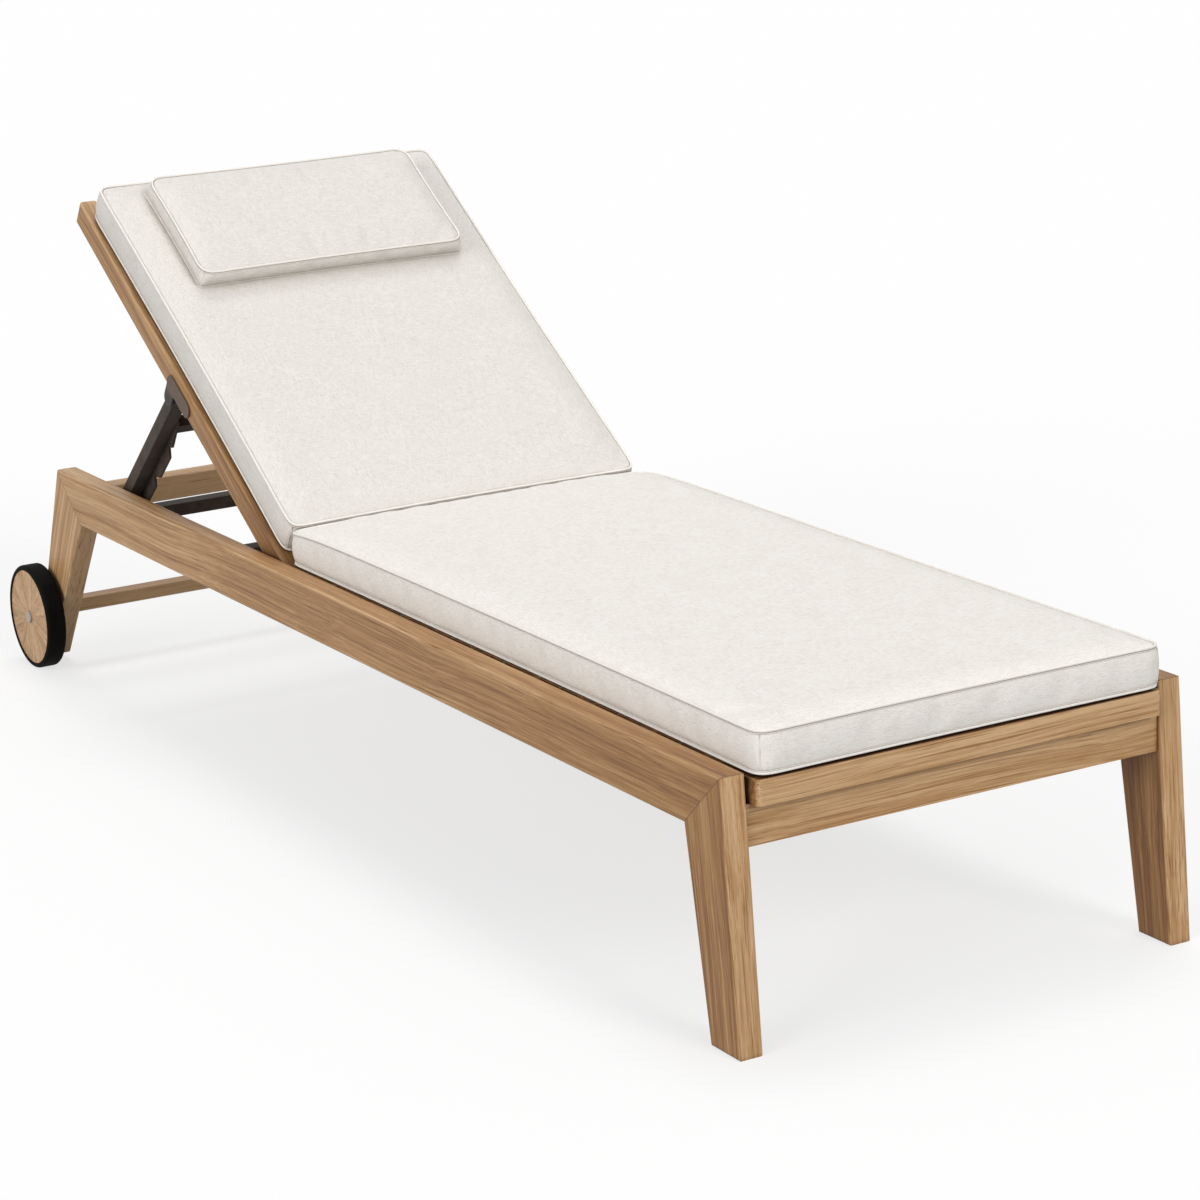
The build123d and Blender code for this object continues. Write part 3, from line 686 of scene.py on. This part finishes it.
def make_object(name, points, faces):
    """A smooth mesh object."""
    mesh = bpy.data.meshes.new(name)
    mesh.from_pydata([tuple(point) for point in points], [], faces)
    mesh.validate()
    mesh.polygons.foreach_set("use_smooth", [True] * len(mesh.polygons))
    made = bpy.data.objects.new(name, mesh)
    bpy.context.scene.collection.objects.link(made)
    return made


def grid_lines(half, cell):
    """Places from one edge to the other, closer together beside the seams."""
    inner = half - seam_cells * near_seam
    count = max(least_cells, round(2 * inner / cell))
    middle = [-inner + 2 * inner * index / count for index in range(count + 1)]
    return [-half, near_seam - half] + middle + [half - near_seam, half]


class Cushion:
    """A box cushion with a top and a bottom panel, a boxing strip and two piped seams.

    The bottom seam stands a little above what the cushion lies on, by lift. The sides are drawn in
    between the corners by draw, and dip is how much lower the top seam is at the far end.
    """

    def __init__(self, width, length, height, crown, draw, corner, cell, lift, low_corner=None, dip=0):
        self.half_x = width / 2
        self.half_y = length / 2
        self.height = height
        self.crown = crown
        self.draw = draw
        self.corner = corner
        self.low_corner = low_corner or corner
        self.lift = lift
        self.dip = dip
        self.columns = grid_lines(self.half_x, cell)
        self.rows = grid_lines(self.half_y, cell)
        self.last_i = len(self.columns) - 1
        self.last_j = len(self.rows) - 1

    def plan(self, x, y, inset, corner):
        """A grid point with the sides drawn in and the corners rounded."""
        half_x = self.half_x - inset
        half_y = self.half_y - inset
        u = x / self.half_x
        v = y / self.half_y
        drawn_x = u * (half_x - self.draw * (1 - v * v))
        drawn_y = v * (half_y - self.draw * (1 - u * u))
        return corner_rounded(drawn_x, drawn_y, half_x, half_y, corner)

    def far(self, y, reach):
        """1 at the far end, falling off towards the near one. Only a cushion with a dip has it."""
        return math.exp((y - self.half_y) / reach) if self.dip else 0.0

    def swell(self, x, y, reach):
        """How far a panel stands beyond its seam, from 0 to 1: a quick shoulder and a slow crown."""
        far = self.far(y, far_reach)
        shoulder = 1 - math.exp(-(self.half_x - abs(x)) / (reach + far_side_shoulder * far))
        shoulder *= 1 - math.exp(-(self.half_y - abs(y)) / (reach + far_end_shoulder * far))
        dome = (1 - (x / self.half_x) ** 2) * (1 - (y / self.half_y) ** 2)
        return shoulder_share * shoulder + dome_share * dome * shoulder

    def top(self, x, y):
        """The top seam's height, lower at the far end by the dip, most of all at its corners."""
        corner = math.exp(-math.hypot(self.half_x - abs(x), self.half_y - y) / dip_corner_reach)
        return self.height - self.dip * (dip_share * corner + (1 - dip_share) * self.far(y, dip_end_reach))

    def edge_grid(self):
        """The grid places round the edge, in order."""
        edge = [(i, 0) for i in range(self.last_i)]
        edge += [(self.last_i, j) for j in range(self.last_j)]
        edge += [(i, self.last_j) for i in range(self.last_i, 0, -1)]
        edge += [(0, j) for j in range(self.last_j, 0, -1)]
        return edge

    def side_point(self, i, j, share, deep=groove):
        """A point of the boxing strip, with its share of the way from the lower seam to the upper one."""
        top = self.top(self.columns[i], self.rows[j])
        height = self.lift + share * (top - self.lift)
        corner = self.low_corner + share * (self.corner - self.low_corner)
        seam = min(height - self.lift, top - height)
        inset = deep * (1 - min(1, seam / near_seam)) - side_bulge * (1 - (2 * share - 1) ** 2)
        x, y = self.plan(self.columns[i], self.rows[j], inset, corner)
        return Vector((x, y, height))

    def panel_point(self, layer, x, y):
        """A point of the bottom panel, layer low, or of the top one, layer high."""
        if layer == "low":
            height = self.lift * (1 - self.swell(x, y, low_shoulder_reach))
            return (*self.plan(x, y, groove, self.low_corner), height)
        seam = self.top(x, y)
        height = seam + (self.height + self.crown - seam) * self.swell(x, y, shoulder_reach)
        return (*self.plan(x, y, groove, self.corner), height)

    def build(self, name):
        """The mesh, with its seam loops in the vertex group pin."""
        points = []
        faces = []
        place = {}
        for layer in ("low", "high"):
            for i, column in enumerate(self.columns):
                for j, row in enumerate(self.rows):
                    place[layer, i, j] = len(points)
                    points.append(self.panel_point(layer, column, row))
        for i in range(self.last_i):
            for j in range(self.last_j):
                faces.append([place["high", i, j], place["high", i + 1, j],
                              place["high", i + 1, j + 1], place["high", i, j + 1]])
                faces.append([place["low", i, j], place["low", i, j + 1],
                              place["low", i + 1, j + 1], place["low", i + 1, j]])
        edge = self.edge_grid()
        loops = [[place["low", i, j] for i, j in edge]]
        near = near_seam / (self.height - self.lift)
        for share in (near, *side_rows, 1 - near):
            first = len(points)
            points.extend(self.side_point(i, j, share) for i, j in edge)
            loops.append(list(range(first, len(points))))
        loops.append([place["high", i, j] for i, j in edge])
        for lower, upper in zip(loops, loops[1:]):
            for k in range(len(edge)):
                n = (k + 1) % len(edge)
                faces.append([lower[k], lower[n], upper[n], upper[k]])
        made = make_object(name, points, faces)
        pin = made.vertex_groups.new(name="pin")
        pin.add(loops[0] + loops[-1] + loops[1] + loops[-2], 1.0, "REPLACE")
        return made

    def seams(self):
        """The two piped seams' loops."""
        return [[self.side_point(i, j, share, piping_inset) for i, j in self.edge_grid()] for share in (0, 1)]

    def stitches(self):
        """The sewn lines beside the piping: over the lower seam and under the upper one."""
        share = stitch_from_seam / (self.height - self.lift)
        return [[self.side_point(i, j, at) for i, j in self.edge_grid()] for at in (share, 1 - share)]

    def corner_seams(self):
        """The boxing strip's upright seams, one at each corner."""
        return [[self.side_point(i, j, share, 0) for share in corner_seam_rows]
                for i in (0, self.last_i) for j in (0, self.last_j)]


def puff(piece):
    """Cloth under pressure, its seams pinned, applied to the mesh with its movement capped."""
    start = [vertex.co.copy() for vertex in piece.data.vertices]
    cloth = piece.modifiers.new("cloth", "CLOTH")
    settings = cloth.settings
    settings.quality = 5
    settings.mass = 0.3
    settings.tension_stiffness = 12
    settings.compression_stiffness = 12
    settings.shear_stiffness = 4
    settings.bending_stiffness = 0.6
    settings.air_damping = 2
    settings.use_pressure = True
    settings.uniform_pressure_force = cloth_pressure
    settings.effector_weights.gravity = 0
    settings.vertex_group_mass = "pin"
    settings.shrink_min = cloth_shrink
    cloth.collision_settings.use_collision = False
    scene = bpy.context.scene
    for step in range(1, cloth_frames + 1):
        scene.frame_set(step)
    shape = piece.evaluated_get(bpy.context.evaluated_depsgraph_get()).data
    for vertex, before, after in zip(piece.data.vertices, start, shape.vertices):
        move = after.co - before
        if move.length > cloth_cap:
            move *= cloth_cap / move.length
        vertex.co = before + move
        vertex.co.z = max(vertex.co.z, 0)
    piece.modifiers.remove(cloth)
    scene.frame_set(1)


def tube(name, loops, radius, sides=8, closed=True):
    """Tubes along lines of points: closed rings for piping, open ones for upright seams."""
    points = []
    faces = []
    for loop in loops:
        count = len(loop)
        first = len(points)
        for k, point in enumerate(loop):
            if closed:
                ahead = (loop[(k + 1) % count] - loop[k - 1]).normalized()
            else:
                ahead = (loop[min(k + 1, count - 1)] - loop[max(k - 1, 0)]).normalized()
            helper = Vector((0, 0, 1)) if abs(ahead.z) < 0.7 else Vector((1, 0, 0))
            out = ahead.cross(helper).normalized()
            up = out.cross(ahead)
            for side in range(sides):
                angle = math.tau * side / sides
                points.append(point + radius * (math.cos(angle) * out + math.sin(angle) * up))
        for k in range(count if closed else count - 1):
            n = (k + 1) % count
            for side in range(sides):
                other = (side + 1) % sides
                faces.append([first + k * sides + side, first + k * sides + other,
                              first + n * sides + other, first + n * sides + side])
        if not closed:
            faces.append([first + side for side in range(sides)])
            faces.append([first + (count - 1) * sides + side for side in reversed(range(sides))])
    return make_object(name, points, faces)


def smoothed(piece):
    """One more level of subdivision on a mesh."""
    modifier = piece.modifiers.new("smooth", "SUBSURF")
    modifier.levels = 1
    modifier.render_levels = 1


def lay(piece, place):
    """Moves a flat piece's mesh to its place."""
    piece.data.transform(place)
    piece.data.update()


def make_cushion(node, body, shape, place, turn, piping_radius, tone, reach):
    """One cushion with its cloth run, its piping, its sewn lines and its materials."""
    name = node + "_cover"
    cover = shape.build(name)
    puff(cover)
    piping = tube(name + "_piping", shape.seams(), piping_radius)
    seams = tube(name + "_corner_seams", shape.corner_seams(), seam_radius, sides=6, closed=False)
    stitches = tube(name + "_stitches", shape.stitches(), seam_radius, sides=6)
    give(cover, linen(name + "_linen", turn, tone, reach))
    give(piping, piped(name + "_piping_linen", turn))
    # The seams and stitches get the darker cloth of painted shade
    for piece in (seams, stitches):
        give(piece, seam_painted_shade(name + "_seam"))
    smoothed(cover)
    smoothed(piping)
    for piece in (cover, piping, seams, stitches):
        lay(piece, place)
        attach(piece, body)
    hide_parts(node)


# Sizes and places of the cushions. Along the back they count from the hinge, and off it square to the back.

seam_height = 0.0535
back_cushion_width = 0.581
back_cushion_length = 0.764
back_cushion_from = 0.018
back_cushion_off = 0.0203
pillow_seam_height = 0.031
pillow_width = 0.452
pillow_length = 0.227
pillow_from_end = 0.0335
pillow_off = 0.0806
# Tone of the linen: the back cushion and the pillow are darker as painted shade
seat_tone = 1.0
back_painted_shade = 0.89


def make_cushions():
    """The seat cushion, the back cushion and the headrest pillow."""
    low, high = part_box("seat_cushion")
    seat = Cushion(high.x - low.x, high.y - low.y, seam_height, crown=0.0065, draw=0.003, corner=0.022,
                   cell=0.014, lift=0.002, dip=0.008)
    place = Matrix.Translation(((low.x + high.x) / 2, (low.y + high.y) / 2, low.z))
    # reach: how near another surface must be for the linen's painted shade
    make_cushion("seat_cushion", "frame", seat, place, (0, 0, 0),
                 piping_radius=0.002, tone=seat_tone, reach=0.018)
    flat_turn = (-recline, 0, 0)
    back = Cushion(back_cushion_width, back_cushion_length, seam_height, crown=0.005, draw=0.003,
                   corner=0.018, cell=0.016, lift=0.003)
    along = back_cushion_from + back_cushion_length / 2
    place = back_place @ Matrix.Translation((0, along, back_cushion_off))
    make_cushion("back_cushion", "backrest", back, place, flat_turn,
                 piping_radius=0.002, tone=back_painted_shade, reach=0.035)
    pillow = Cushion(pillow_width, pillow_length, pillow_seam_height, crown=0.006, draw=0.002,
                     corner=0.022, cell=0.009, lift=0.001, low_corner=0.005)
    along = back_cushion_from + back_cushion_length - pillow_from_end - pillow_length / 2
    place = back_place @ Matrix.Translation((0, along, pillow_off))
    make_cushion("headrest_pillow", "backrest", pillow, place, flat_turn,
                 piping_radius=0.0018, tone=back_painted_shade, reach=0.06)


# Stage and light

floor_white = 0.985
floor_half = 40
bounce_grey = 0.45
shadow_share = 0.3
world_light = 0.42


def make_stage():
    """A pale floor that keeps the object's shadow, seen lighter than it lights."""
    half = floor_half
    corners = [(-half, -half, 0), (half, -half, 0), (half, half, 0), (-half, half, 0)]
    floor = make_object("studio_floor", corners, [[0, 1, 2, 3]])
    tree = material_tree("studio_floor")
    tree.nodes.remove(tree.shader)
    glow = tree.node("ShaderNodeEmission", inputs={"Color": grey(floor_white)})
    pale = tree.node("ShaderNodeBsdfDiffuse", inputs={"Color": grey(floor_white)})
    shown = tree.node("ShaderNodeMixShader", inputs={0: shadow_share, 1: glow, 2: pale})
    lighting = tree.node("ShaderNodeBsdfDiffuse", inputs={"Color": grey(bounce_grey)})
    both = tree.node("ShaderNodeMixShader", inputs={0: tree.looked_at(), 1: lighting, 2: shown})
    tree.put(both, tree.nodes["Material Output"].inputs["Surface"])
    give(floor, tree.owner)


def sun(name, strength, spread, azimuth, elevation):
    """A soft lamp far away. Azimuth counts from -Y towards -X."""
    data = bpy.data.lights.new(name, "SUN")
    data.energy = strength
    data.angle = math.radians(spread)
    turn = math.radians(azimuth)
    rise = math.radians(elevation)
    towards = Vector((-math.sin(turn) * math.cos(rise), -math.cos(turn) * math.cos(rise), math.sin(rise)))
    lamp = bpy.data.objects.new(name, data)
    lamp.rotation_euler = towards.to_track_quat("Z", "Y").to_euler()
    bpy.context.scene.collection.objects.link(lamp)


def make_light():
    """Even studio light with a soft key from above and behind, and fills from the side and the front.

    The world is seen in the floor's own white, and lights less than that.
    """
    tree = Tree(bpy.data.worlds.new("studio"))
    background = tree.nodes["Background"].inputs
    tree.put(plain, background["Color"])
    strength = tree.math("MULTIPLY_ADD", tree.looked_at(), floor_white - world_light, world_light)
    tree.put(strength, background["Strength"])
    bpy.context.scene.world = tree.owner
    sun("key", strength=0.82, spread=22, azimuth=-145, elevation=73)
    sun("side", strength=1.42, spread=36, azimuth=75, elevation=22)
    sun("front", strength=1.2, spread=24, azimuth=-10, elevation=30)


make_camera()
dress_teak()
dress_rest()
make_cushions()
make_stage()
make_light()

bpy.context.scene.view_settings.view_transform = "Standard"
